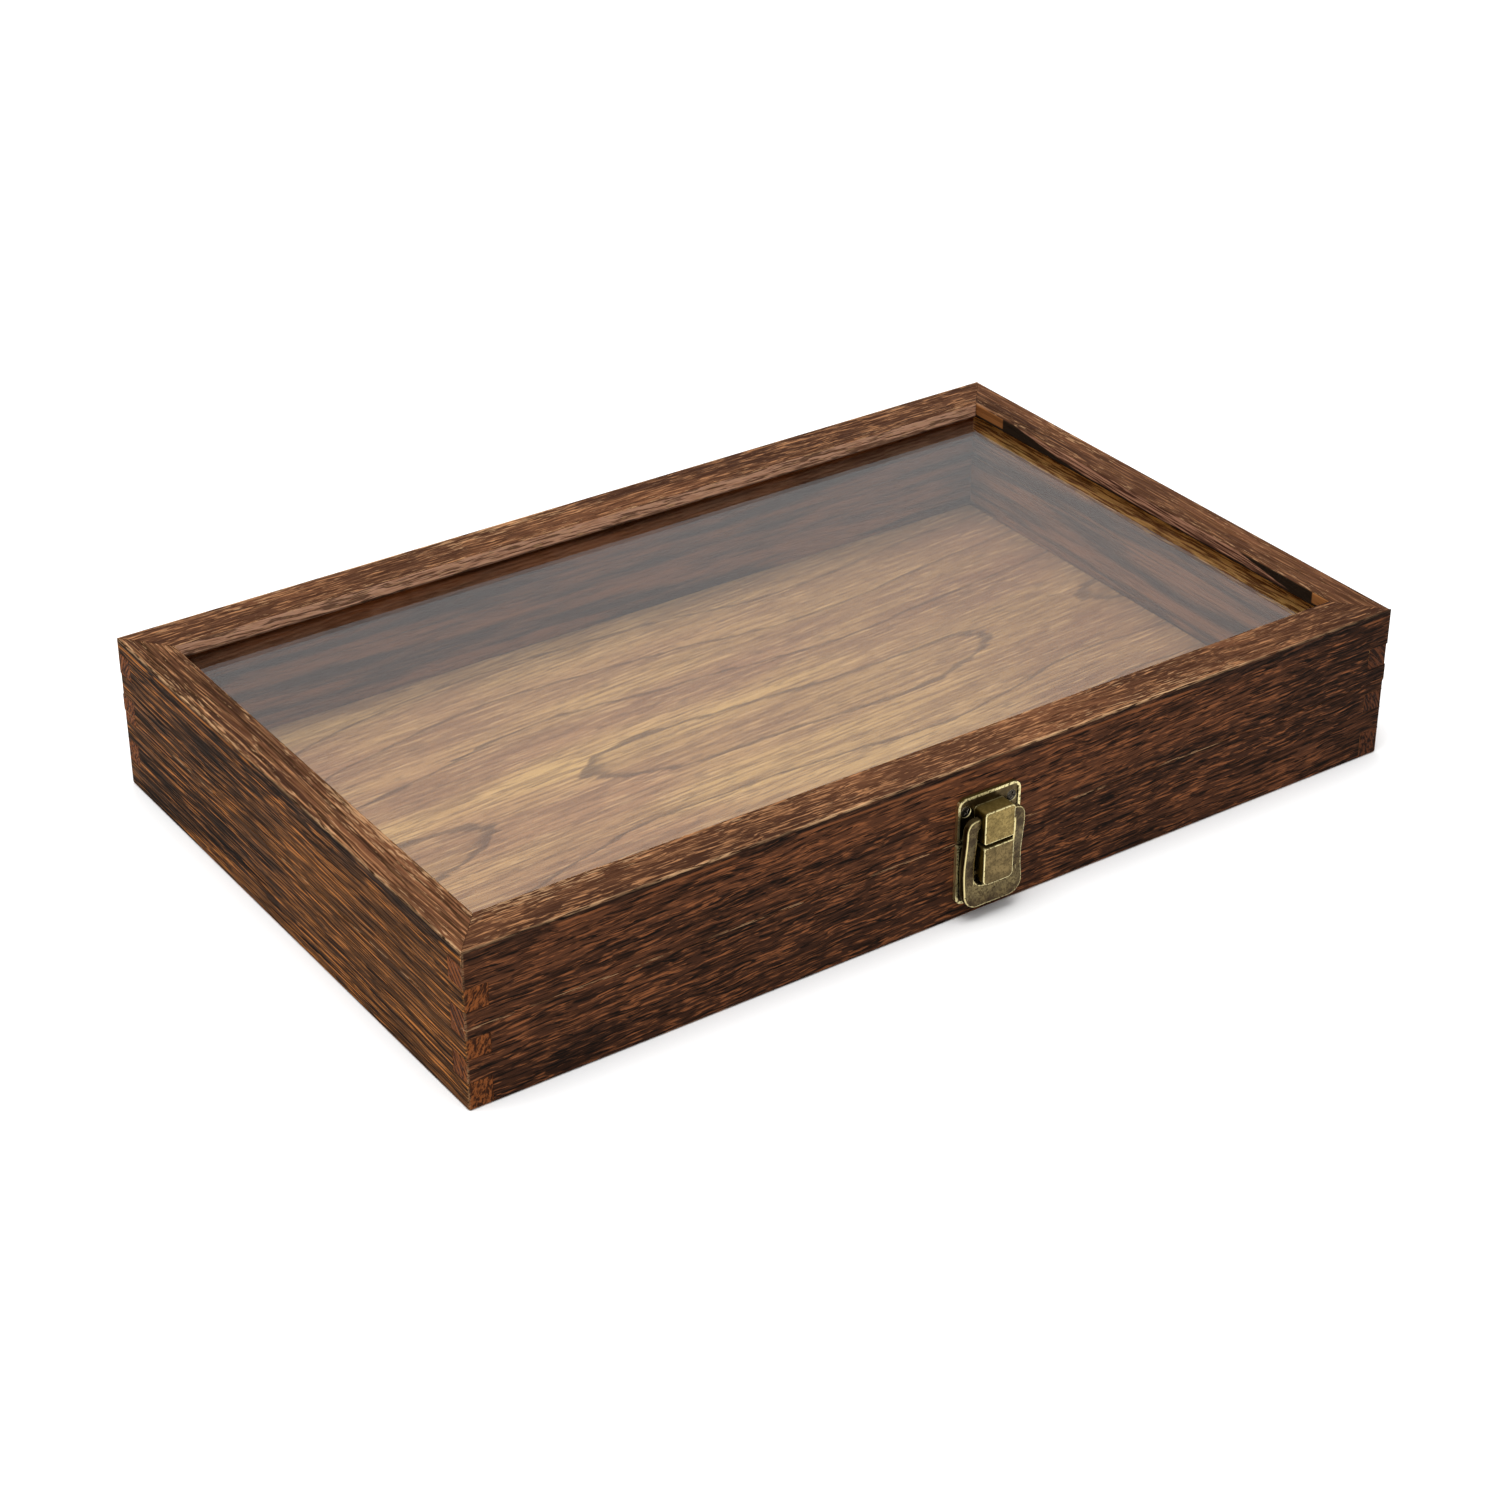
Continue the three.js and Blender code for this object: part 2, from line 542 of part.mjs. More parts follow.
// The lower block, pinned between the handle's arms, open behind round the pin for its spring.
function tongue() {
  const outline = roundedOutline(BLOCK_WIDTH / 2, TONGUE_BOTTOM, TONGUE_TOP, TONGUE_CORNER_R, 0.8);
  const block = pushedOut(outline, TONGUE_BACK, BLOCK_FRONT, BLOCK_EDGE);
  const boss = barX(TONGUE_BOSS_R, -BLOCK_WIDTH / 2, BLOCK_WIDTH / 2, -TONGUE_PIN_V, TONGUE_PIN_W);
  const { halfWidth, low, high, front } = SPRING_POCKET;
  const pocket = box([-halfWidth, -front, low], [halfWidth, 0, high]);
  const bore = barX(TONGUE_PIN_R + RUNNING_GAP, -BLOCK_WIDTH, BLOCK_WIDTH, -TONGUE_PIN_V, TONGUE_PIN_W);
  return cut(join(block, boss), pocket, bore);
}

class CoilCurve extends THREE.Curve {
  getPoint(t, target = new THREE.Vector3()) {
    const angle = 2 * Math.PI * SPRING_TURNS * t;
    return target.set(
      (t - 0.5) * SPRING_TURNS * SPRING_PITCH,
      -TONGUE_PIN_V + SPRING_MEAN_R * Math.cos(angle),
      TONGUE_PIN_W + SPRING_MEAN_R * Math.sin(angle),
    );
  }
}

function tongueSpring() {
  const wire = new THREE.Shape();
  wire.absarc(0, 0, SPRING_WIRE_R, 0, 2 * Math.PI);
  return new THREE.ExtrudeGeometry(wire, {
    steps: SPRING_TURNS * 12,
    curveSegments: 4,
    extrudePath: new CoilCurve(),
  });
}

function buildLatch() {
  const latch = new THREE.Group();
  latch.position.set(LATCH_X, -Y, PARTING);
  latch.add(
    mesh('catch_plate', catchPlate(), ANTIQUE_BRASS),
    mesh('latch_base_plate', latchBasePlate(), ANTIQUE_BRASS),
    mesh('latch_handle', handle(), ANTIQUE_BRASS),
    mesh('handle_pin', barX(HANDLE_PIN_R, -HANDLE_PIN_HALF, HANDLE_PIN_HALF, -PIN_V, HANDLE_PIN_W),
      ANTIQUE_BRASS),
    mesh('latch_tongue', tongue(), ANTIQUE_BRASS),
    mesh('tongue_pin', barX(TONGUE_PIN_R, -TONGUE_PIN_HALF, TONGUE_PIN_HALF, -TONGUE_PIN_V, TONGUE_PIN_W),
      ANTIQUE_BRASS),
    mesh('tongue_spring', tongueSpring(), SPRING_STEEL),
  );
  const face = -(PLATE_THICKNESS - PLATE_DISH);
  for (const [part, w] of [['catch', CATCH_SCREW_W], ['base', BASE_SCREW_W]]) {
    for (const [place, end] of [['left', -1], ['right', 1]]) {
      latch.add(screw(`latch_${part}_screw_${place}`, end * PLATE_SCREW_U, face, w, -1));
    }
  }
  return latch;
}

// ---------------------------------------------------------------- the case

const shadowBox = new THREE.Group();
shadowBox.add(
  buildBase(),
  buildLid(),
  buildHinge('left', -HINGE_X),
  buildHinge('right', HINGE_X),
  buildLatch(),
);

export default shadowBox;
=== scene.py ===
import math

import bpy
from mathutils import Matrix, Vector

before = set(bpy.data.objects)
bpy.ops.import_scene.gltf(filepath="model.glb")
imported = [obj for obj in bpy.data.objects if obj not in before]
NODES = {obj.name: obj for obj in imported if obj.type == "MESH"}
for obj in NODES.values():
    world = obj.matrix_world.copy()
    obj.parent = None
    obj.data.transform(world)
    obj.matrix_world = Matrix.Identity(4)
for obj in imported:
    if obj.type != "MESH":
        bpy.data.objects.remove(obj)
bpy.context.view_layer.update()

MM = 1000.0              # the materials are laid out in millimetres

# The case, in millimetres: half its footprint, its height, the height of the saw cut that parts the lid
# from the base, how far in from the outside the lid's lip reaches on the long and on the short sides, and
# the height of the lip's underside.
HALF_X, HALF_Y, HEIGHT, PARTING = 175.0, 109.0, 54.0, 27.7
LONG_LIP, SIDE_LIP, LIP_BOTTOM = 15.5, 13.0, 49.0

# Where the middle of the latch lies along the front, and half the width of its plates.
LATCH_X, PLATE_HALF = 8.4, 12.0

# Rounding of the edges, each a width in millimetres and a number of segments. Edges that turn by more than
# SHARP are rounded, and vertices closer than WELD metres are one.
WOOD_EDGE, PANEL_EDGE, BRASS_EDGE, SCREW_EDGE = (0.8, 3), (0.15, 1), (0.22, 2), (0.07, 1)
SHARP, FLAT = math.radians(32), math.radians(0.6)
WELD = 2e-6

# Shadow rays leave each face of the pane this much stronger. It is fitted to how bright the photograph shows
# the inside of the case, and makes up for the lamp, which other rays through the pane don't see.
PASSED = 1.36

# The lamp, the room and the floor, in metres and watts.
LAMP_PLACE, LAMP_TARGET, LAMP_SIZE, LAMP_POWER = (-0.3, -0.1, 1.95), (0.0, 0.0, 0.03), 1.6, 46.0
ROOM_LIGHT = 0.7         # how strongly the white room lights the case; the camera sees it as pure white
FLOOR_REACH, FLOOR_SIDES = 1.4, 96

# The camera: what it looks at, where from, and its lens in millimetres.
TARGET, DISTANCE = Vector((-0.025, -0.031, 0.030)), 1.036
AZIMUTH, ELEVATION = math.radians(-34.65), math.radians(30.65)
LENS, SENSOR, CLIP_START = 78.6, 36.0, 0.01


# ---------------------------------------------------------------- fields: shader sockets that take arithmetic

def linear(red, green, blue):
    """A screen colour, 0 to 255, as the linear colour that shaders take."""
    def one(value):
        value /= 255
        return value / 12.92 if value <= 0.04045 else ((value + 0.055) / 1.055) ** 2.4
    return one(red), one(green), one(blue), 1.0


def feed(tree, value, socket):
    """Links a field to a socket, or sets a plain value on it."""
    if isinstance(value, Field):
        tree.links.new(value.socket, socket)
    else:
        socket.default_value = value


def make(tree, kind, inputs=None, **settings):
    """A new node with its settings, and with values or fields fed to its inputs."""
    node = tree.nodes.new(kind)
    for key, value in settings.items():
        setattr(node, key, value)
    for key, value in (inputs or {}).items():
        feed(tree, value, node.inputs[key])
    return node


class Field:
    """A shader socket that takes arithmetic, so that a material reads like its formula."""

    def __init__(self, tree, socket):
        self.tree, self.socket = tree, socket

    def math(self, operation, *others):
        """The result of one of the Math node's operations on this field and the others."""
        node = make(self.tree, "ShaderNodeMath", operation=operation)
        for value, socket in zip((self, *others), node.inputs):
            feed(self.tree, value, socket)
        return Field(self.tree, node.outputs[0])

    def __add__(self, other): return self.math("ADD", other)
    def __sub__(self, other): return self.math("SUBTRACT", other)
    def __mul__(self, other): return self.math("MULTIPLY", other)
    def __truediv__(self, other): return self.math("DIVIDE", other)
    def __pow__(self, other): return self.math("POWER", other)
    def __neg__(self): return self.math("MULTIPLY", -1.0)
    def __abs__(self): return self.math("ABSOLUTE")
    def __rsub__(self, other): return (-self).math("ADD", other)
    __radd__, __rmul__ = __add__, __mul__

    def low(self, other): return self.math("MINIMUM", other)
    def high(self, other): return self.math("MAXIMUM", other)
    def root(self): return self.math("SQRT")
    def sine(self): return self.math("SINE")

    def ramp(self, start, end, low=0.0, high=1.0):
        """A smooth step from low at start to high at end. start may be above end."""
        if start > end:
            start, end, low, high = end, start, high, low
        node = make(self.tree, "ShaderNodeMapRange", {
            "Value": self, "From Min": start, "From Max": end, "To Min": low, "To Max": high,
        }, interpolation_type="SMOOTHSTEP")
        return Field(self.tree, node.outputs[0])


class Look:
    """A material in the making: one Principled shader and the fields that drive it."""

    def __init__(self, name, **constants):
        self.material = bpy.data.materials.new(name)
        self.material.use_nodes = True
        self.tree = self.material.node_tree
        self.tree.nodes.clear()
        self.shader = make(self.tree, "ShaderNodeBsdfPrincipled", constants)
        self.out = make(self.tree, "ShaderNodeOutputMaterial")
        self.tree.links.new(self.shader.outputs[0], self.out.inputs["Surface"])
        coords = make(self.tree, "ShaderNodeTexCoord").outputs
        self.x, self.y, self.z = (axis * MM for axis in self.split(Field(self.tree, coords["Object"])))
        self.normal = self.split(Field(self.tree, coords["Normal"]))

    def split(self, vector):
        node = make(self.tree, "ShaderNodeSeparateXYZ", {0: vector})
        return [Field(self.tree, socket) for socket in node.outputs]

    def point(self, x, y, z):
        node = make(self.tree, "ShaderNodeCombineXYZ", {0: x, 1: y, 2: z})
        return Field(self.tree, node.outputs[0])

    def noise(self, x, y, z, detail=2.0, roughness=0.5, bend=0.0):
        """Noise that repeats about once in each unit of x, y and z, about 0.5."""
        node = make(self.tree, "ShaderNodeTexNoise", {
            "Vector": self.point(x, y, z), "Scale": 1.0, "Detail": detail, "Roughness": roughness,
            "Distortion": bend,
        })
        return Field(self.tree, node.outputs["Fac"])

    def mix(self, share, under, over):
        """The colour under, with share of the colour over on it."""
        node = make(self.tree, "ShaderNodeMix", data_type="RGBA")
        for value, key in ((share, "Factor_Float"), (under, "A_Color"), (over, "B_Color")):
            feed(self.tree, value, next(s for s in node.inputs if s.identifier == key))
        return Field(self.tree, next(s for s in node.outputs if s.identifier == "Result_Color"))

    def finish(self, colour, roughness, relief, depth, strength=1.0):
        """depth is how many millimetres of relief a field of 1 stands for."""
        bump = make(self.tree, "ShaderNodeBump", {
            "Height": relief, "Distance": depth / MM, "Strength": strength,
        })
        feed(self.tree, colour, self.shader.inputs["Base Color"])
        feed(self.tree, roughness, self.shader.inputs["Roughness"])
        self.tree.links.new(bump.outputs[0], self.shader.inputs["Normal"])
        return self.material


# ---------------------------------------------------------------- scorched wood

CHAR, TAN = linear(13, 10, 8), linear(200, 158, 116)
TOP_DEEP, TOP_MID, TOP_LIGHT = linear(56, 33, 21), linear(98, 62, 40), linear(152, 106, 70)
END_GRAIN = linear(50, 26, 13), linear(124, 70, 35)
END_GRAIN_BURNT = linear(34, 19, 12), linear(84, 48, 29)
RED_BROWN = linear(54, 31, 19), linear(80, 47, 29), linear(132, 79, 46)
OLIVE_BROWN = linear(44, 27, 13), linear(77, 47, 21), linear(182, 112, 48)


def scorched_wood(name, side, seed, pith, lean, strand, ripple, scorch, tones, recess, worn, split,
                  contrast=1.0, ends=END_GRAIN):
    """The boards on one side of the case. They share one look, so the grain runs on over the saw cut.

    side      the axis its outer face looks along, with its sign, such as ("y", -1)
    pith      where the tree's heart lies, behind the outer face and up
    lean      how far the grain climbs along the board
    strand    how long and how wide the fibres show
    ripple    how far the fibres wave up and down
    scorch    how much of the face is burnt, then what to add round some places, each (place, reach, share)
    tones     the deep, middle and bright browns
    recess    the colour of the lip's inner face, or None where a strip of wood is stuck in front of it
    worn      places along the rim where its outer edge is rubbed more, or less if their share is below 0
    split     places along the rim where it is torn next to the glass
    contrast  how strongly the dark and bright fibres show on the rim's top
    ends      the dark and the light of the end grain
    """
    s = Look(name, **{"Specular IOR Level": 0.04})
    x, y, z = s.x, s.y, s.z
    axis, sign = side
    length, width = strand
    deep, mid, bright = tones
    along, across, half = (x, y, HALF_Y) if axis == "y" else (y, x, HALF_X)
    n_along, n_across = (s.normal[0], s.normal[1]) if axis == "y" else (s.normal[1], s.normal[0])
    depth = half - across * sign                # how far behind the outer face

    def around(places):
        """The shares of the places, each fading out over its reach."""
        total = 0.0
        for place, reach, share in places:
            total = abs(along - place).ramp(reach, 0.0, 0.0, share) + total
        return total

    # The tree: rings round the pith, bent by a slow drift of the grain.
    drift = s.noise(along * 0.007 + seed, depth * 0.02, z * 0.02) - 0.5
    sway = s.noise(along * 0.010 - seed, z * 0.022, depth * 0.022) - 0.5
    d, h = depth + drift * 8.0 - pith[0], z + sway * 11.0 - pith[1] - along * lean
    ring, turn = (d * d + h * h).root(), h - d
    year = s.noise(ring * 0.17, along * 0.004, seed, 3.0, 0.6).ramp(0.40, 0.60)

    # Fibres: long thin strands with a slight wave, burnt black, more so in some bands.
    wave = (s.noise(along / 13.0, z / 7.0, depth / 7.0 + seed, 1.0) - 0.5) * ripple
    rise, sink = z - along * lean + sway * 5.0 + wave, depth + drift * 5.0 + wave
    patch = s.noise(along * 0.014 + seed, ring * 0.09, turn * 0.05, 2.0, 0.55)
    fine = s.noise(along / length, rise / width, sink / width + seed, 2.0, 0.7)
    burr = s.noise(along / (length * 0.7), rise / width + seed, sink / width, 2.0, 0.7)
    hair = s.noise(along / (length * 0.8), rise / 0.62, sink / 0.62 + seed, 1.0, 0.6)
    heat = around(scorch[1:]) + (scorch[0] - 0.5)
    black = (fine + (patch - 0.5) * 0.14 + heat * 0.2).ramp(0.47, 0.56)
    ember = (burr + (0.5 - patch) * 0.10).ramp(0.48, 0.58)
    hairy = hair.ramp(0.40, 0.60)

    # How near the outside edges of the case, by the second nearest of its faces.
    to_x, to_y = HALF_X - abs(x), HALF_Y - abs(y)
    to_top, to_z = HEIGHT - z, (HEIGHT - z).low(z)
    edge = to_x.low(to_y).high(to_z).low(to_x.high(to_y))
    ragged = s.noise(along / 6.0, across / 0.55, z / 0.55 + seed, 2.0, 0.6)
    blotch = s.noise(along / 34.0 + seed, across / 14.0, z / 14.0)

    up = s.normal[2].ramp(0.55, 0.9)
    end = abs(n_along).ramp(0.6, 0.9)
    inward = (n_across * -sign).ramp(0.6, 0.9)

    # Sides: deep brown, with bright fibres, black scorched strands and a burnt band under the top edge.
    face = s.mix(year, mid, deep)
    face = s.mix(ember * (0.2 + hairy * 0.7), face, bright)
    face = s.mix(black * (0.5 + hairy * 0.45), face, CHAR)
    soot = s.noise(along / 55.0 - seed, z / 16.0, depth / 16.0, 2.0, 0.6).ramp(0.50, 0.68)
    face = s.mix(soot * 0.38, face, CHAR)
    band = (to_top + (blotch - 0.5) * 9.0).ramp(4.5, 1.5)
    face = s.mix(band * 0.6, face, CHAR)
    thread = abs(to_top - 2.6 + (sway - drift) * 3.0).ramp(0.55, 0.2) * blotch.ramp(0.46, 0.52)
    face = s.mix(thread * 0.6, face, bright)

    # The rim's top is sanded back lighter, with pale torn fibres where it is worn.
    wear = around(worn)
    shade = s.noise(along / 70.0 + seed, across / 30.0, 5.0, 2.0, 0.5).ramp(0.38, 0.56)
    shade = (shade * 0.7 - wear.low(0.0) * 0.7).high(year).low(1.0)
    top = s.mix(shade, TOP_MID, TOP_DEEP)
    top = s.mix(ember * (0.2 + hairy * 0.7) * contrast, top, TOP_LIGHT)
    top = s.mix(black * (0.4 + hairy * 0.5) * contrast, top, deep)
    torn = (ragged + (blotch - 0.5) * 0.3 + wear * 0.08 - edge * 0.012).ramp(0.58, 0.68)
    to_glass = (abs(x) - (HALF_X - SIDE_LIP)).high(abs(y) - (HALF_Y - LONG_LIP))
    torn = torn.high((ragged + around(split) * 0.1 - to_glass * 0.022).ramp(0.56, 0.64))
    top = s.mix(torn * 0.42, top, TAN)

    # Inside, the walls are smoother and banded, the lip's inner face is streaked, with a painted shadow line
    # next to the glass, and end grain shows the rings as curls.
    board = s.noise(along / 90.0 + seed, z / 6.0, 1.0, 3.0, 0.6).ramp(0.38, 0.62)
    wall = s.mix(board, linear(146, 98, 66), linear(76, 50, 35))
    wall = s.mix(black * 0.22 + hairy * 0.18, wall, deep)
    if recess:
        lip = s.mix(black * 0.75, s.mix(ember * 0.35, recess, bright), deep)
        lip = s.mix(ragged.ramp(0.54, 0.64) * 0.5, lip, TAN)
        # Painted shadow: the lowest millimetre of the lip's face, next to the glass, goes nearly black.
        lip = s.mix(z.ramp(LIP_BOTTOM + 0.9, LIP_BOTTOM + 0.4) * 0.7, lip, CHAR)
    else:
        # The strip is bowed, with painted shadow in the gaps round it and a pale block at each end of the
        # recess.
        run, above = HALF_Y - LONG_LIP - along, z - LIP_BOTTOM  # from the recess's back corner, and up
        bow = (s.noise(along / 22.0, 2.0, seed, 2.0, 0.6) - 0.5) * 2.0
        low_edge = run.ramp(66.0, 6.0, 0.9, 5.8) + bow * 0.8
        top_edge = run.ramp(136.0, 177.0, 4.8, 0.4) + bow
        strip = (above - low_edge).ramp(-0.2, 0.2) * (top_edge - above).ramp(-0.2, 0.2)
        strip_line = s.noise(along / 26.0, (above + run * 0.03) / 0.8, seed, 3.0, 0.65).ramp(0.44, 0.56)
        # Painted shadow: outside the strip the recess is near black.
        lip = s.mix(strip, linear(36, 26, 18), s.mix(strip_line, linear(166, 120, 94), linear(74, 46, 34)))
        block = (run.ramp(16.2, 15.6) + run.ramp(178.8, 179.4)) * above.ramp(0.9, 1.2)
        lip = s.mix(block, lip, s.mix(year, linear(146, 94, 52), linear(116, 72, 38)))
        # Painted light: the wall under it turns into a bright golden band near the glass, streaked like
        # fibres.
        painted_light_band = (z + (ragged - 0.5) * 5.0).ramp(36.4, 38.6)
        painted_light_streaks = s.noise(along / 16.0, z / 0.9, seed, 3.0, 0.65).ramp(0.42, 0.56)
        wall = s.mix(painted_light_band * 0.9, wall, s.mix(painted_light_streaks, linear(236, 190, 116), linear(116, 76, 36)))
    in_lip = z.ramp(LIP_BOTTOM - 3.0, LIP_BOTTOM - 2.0)
    curl = s.noise(along * 0.2, ring / 1.3, turn / 1.5, 3.0, 0.65)
    stub = s.mix(curl.ramp(0.42, 0.60), *ends)

    colour = s.mix(inward, face, s.mix(in_lip, wall, lip))
    colour = s.mix(up, colour, top)
    colour = s.mix(end, colour, stub)

    # Edges: rubbed pale here and there, less where they are burnt, and a few bright splinters where the saw
    # parted the lid.
    rub = edge.ramp(0.9, 0.3) * ragged.ramp(0.40, 0.54) * (0.3 + blotch.ramp(0.42, 0.56) * 0.7)
    rub = rub * to_top.ramp(16.0, 4.0, 0.35, 1.0) * (1 - inward)
    rub = (rub * (1 - around(scorch[1:]) * 2.0)).low(rub).high(0.0)
    by_cut = abs(z - PARTING).ramp(0.34, 0.2)
    splinters = (blotch + around(split) * 0.12).ramp(0.49, 0.58) * ragged.ramp(0.46, 0.54)
    cut = by_cut * to_x.low(to_y).ramp(0.5, 0.2) * splinters
    colour = s.mix(rub * 0.65, colour, TAN)
    colour = s.mix(cut * 0.6, colour, TAN)

    # The sawn faces where lid and base meet are plainer, with marks of the blade across them.
    blade = s.noise(along / 0.9, across / 12.0, seed, 2.0, 0.6)
    sawn = by_cut * abs(s.normal[2]).ramp(0.8, 0.95)
    plain = s.mix(blade.ramp(0.4, 0.6) * 0.4, s.mix(year * 0.6 + ember * 0.3, TOP_LIGHT, TOP_MID), deep)
    colour = s.mix(sawn * 0.85, colour, plain)

    roughness = 0.62 + black * 0.16 - ember * 0.08 - up * 0.08
    relief = ember * 0.4 - black * 0.7 + ragged * 0.3 * torn
    return s.finish(colour, roughness, relief, 0.16, 0.6)


WOOD = {
    "front": scorched_wood(
        "scorched_wood_front", ("y", -1), 3.7, pith=(34.0, 6.0), lean=0.03, strand=(13.0, 0.85), ripple=1.8,
        scorch=(0.50, (0, 80, -0.30), (174, 56, 0.45)), tones=RED_BROWN, recess=linear(128, 84, 58),
        worn=((-110, 90, -1.0), (95, 45, 0.6), (174, 60, -1.4)), split=((-145, 60, 1.0),)),
    "back": scorched_wood(
        "scorched_wood_back", ("y", 1), 11.3, pith=(28.0, 30.0), lean=-0.02, strand=(16.0, 0.9), ripple=1.4,
        scorch=(0.46,), tones=RED_BROWN, recess=linear(202, 156, 128), worn=((-30, 50, 1.0),), split=()),
    "left": scorched_wood(
        "scorched_wood_left", ("x", -1), 19.1, pith=(70.0, 30.0), lean=0.01, strand=(42.0, 0.66), ripple=0.5,
        scorch=(0.51, (95, 110, 0.16)), tones=OLIVE_BROWN, recess=linear(128, 84, 58),
        worn=((30, 70, 0.5),), split=((-40, 60, 1.2),)),
    "right": scorched_wood(
        "scorched_wood_right", ("x", 1), 27.9, pith=(45.0, 12.0), lean=0.01, strand=(30.0, 0.85), ripple=0.8,
        scorch=(0.48,), tones=OLIVE_BROWN, recess=None, worn=((60, 40, 1.0),), split=(),
        contrast=0.6, ends=END_GRAIN_BURNT),
}


# ---------------------------------------------------------------- walnut veneer of the bottom

def walnut_veneer():
    """Flat-sliced veneer: its rings show as long loops, each with a thin dark outline."""
    s = Look("walnut_veneer", **{"Specular IOR Level": 0.2})
    x, y, z = s.x, s.y, s.z
    lean = y - x * 0.06
    # The cut runs a little above the heart of the tree, which wanders along the panel.
    heart = 12.0 + (s.noise(x / 190.0 + 5.0, lean / 300.0, 3.0, 1.0) - 0.5) * 50.0
    below = 16.4 + (s.noise(x / 160.0 + 2.0, lean / 130.0, 6.0, 1.0) - 0.5) * 44.0
    jag = s.noise(x / 18.0, lean / 3.0, 7.0, 3.0, 0.6) - 0.5
    ring = ((lean - heart) * (lean - heart) + below * below).root()
    phase = ring / 19.0 + jag * 0.18
    cycle = phase - phase.math("FLOOR")
    contour = cycle.ramp(0.925, 0.965) * cycle.ramp(1.0, 0.988)
    gold = s.noise(x / 170.0 + 8.0, lean / 34.0, 4.0).ramp(0.38, 0.62)
    strand = s.noise(x / 40.0, lean / 1.3, z, 3.0, 0.65)
    fleck = s.noise(x / 16.0, lean / 0.8, z + 5.0, 2.0, 0.6)
    pore = s.noise(x / 8.0, lean / 0.8, z + 9.0, 1.0, 0.5)
    colour = s.mix(gold, linear(130, 94, 65), linear(163, 129, 82))
    colour = s.mix(cycle.ramp(0.1, 1.0) * 0.28, colour, linear(100, 69, 46))
    colour = s.mix(strand.ramp(0.42, 0.60) * 0.62, colour, linear(92, 62, 42))
    # Painted shade: the veneer darkens towards the right wall and towards the back wall.
    colour = s.mix(x.ramp(-40.0, 150.0) * 0.65, colour, linear(94, 62, 44))
    colour = s.mix(y.ramp(10.0, 110.0) * 0.35, colour, linear(96, 68, 50))
    colour = s.mix(fleck.ramp(0.54, 0.68) * 0.34, colour, linear(190, 154, 108))
    colour = s.mix(pore.ramp(0.56, 0.66) * 0.40, colour, linear(68, 46, 33))
    colour = s.mix(contour * 0.6, colour, linear(62, 41, 28))
    return s.finish(colour, 0.5 + strand * 0.12, fleck - strand, 0.06, 0.4)


# ---------------------------------------------------------------- glass and metals

def pane_glass():
    """Clear glass with faint smears. Shadow rays pass it straight, so that the case is lit inside."""
    s = Look("clear_glass", Roughness=0.0, **{"Transmission Weight": 1.0, "IOR": 1.5})
    smear = s.noise(s.x / 40.0, s.y / 26.0, s.z, 3.0, 0.6).ramp(0.45, 0.7)
    feed(s.tree, s.mix(smear, linear(252, 255, 254), linear(246, 249, 247)), s.shader.inputs["Base Color"])
    clear = make(s.tree, "ShaderNodeBsdfTransparent", {"Color": (PASSED, PASSED, PASSED, 1.0)})
    path = make(s.tree, "ShaderNodeLightPath")
    either = make(s.tree, "ShaderNodeMixShader")
    s.tree.links.new(path.outputs["Is Shadow Ray"], either.inputs[0])
    s.tree.links.new(s.shader.outputs[0], either.inputs[1])
    s.tree.links.new(clear.outputs[0], either.inputs[2])
    s.tree.links.new(either.outputs[0], s.out.inputs["Surface"])
    return s.material


PLATE_FRONT = -2.2, -1.5     # between the fronts of the latch's plates and the parts that stand on them


def metal(name, dark, light, spot, roughness, grain=1.0, rim=None, flank=None, plate=None):
    """Old metal: dark and light are its blotches, spot the specks of tarnish. Faces that look up gather dust,
    so they are less metallic. On a latch part, which faces -Y, rim is the colour of its rounded front edges
    and of the plates' left border, rubbed brass with painted highlight on it, flank of the sides that hands
    don't rub, and plate gives the dark and the light of what lies close to the wood."""
    s = Look(name)
    x, y, z = s.x, s.y, s.z
    feed(s.tree, s.normal[2].ramp(0.3, 0.9, 1.0, 0.6), s.shader.inputs["Metallic"])
    blotch = s.noise(x / (3.2 * grain), y / (3.2 * grain), z / (3.2 * grain), 4.0, 0.65)
    speck = s.noise(x / (0.7 * grain), y / (0.7 * grain), z / (0.7 * grain), 3.0, 0.6)
    if plate:
        near = (y + HALF_Y).ramp(*PLATE_FRONT)
        dark, light = (s.mix(near, far, close) for far, close in ((dark, plate[0]), (light, plate[1])))
    colour = s.mix(blotch.ramp(0.38, 0.62), light, dark)
    colour = s.mix(speck.ramp(0.46, 0.60) * 0.55, colour, spot)
    facing = -s.normal[1]
    if flank:
        colour = s.mix(facing.ramp(0.5, 0.1) * s.normal[2].ramp(0.9, 0.3, 0.6, 0.9), colour, flank)
    if rim:
        # Rubbed brass and painted highlight: the rims are brighter on faces that look left and dimmer on
        # faces that look right or up, and a painted highlight strip runs along the plates' left border.
        rounded = facing.ramp(0.1, 0.3) * facing.ramp(0.998, 0.97)
        lip = (y + HALF_Y).ramp(-1.1, -1.25) * (y + HALF_Y).ramp(-1.6, -1.4)      # the plates' front edge
        left = (-s.normal[0]).ramp(0.1, 0.5)
        right_or_up = (s.normal[0] + s.normal[2]).ramp(0.2, 0.6)
        chips_and_highlight = (speck - left * 0.14).ramp(0.64, 0.50) * (1 - right_or_up * 0.6)
        border = (LATCH_X - x).ramp(PLATE_HALF - 1.0, PLATE_HALF - 0.7) * (y + HALF_Y).ramp(*PLATE_FRONT)
        colour = s.mix(rounded.high(lip * 0.8).high(border * 0.8) * chips_and_highlight, colour, rim)
    return s.finish(colour, blotch * 0.22 + speck * 0.12 + (roughness - 0.17), blotch + speck, 0.03, 0.5)


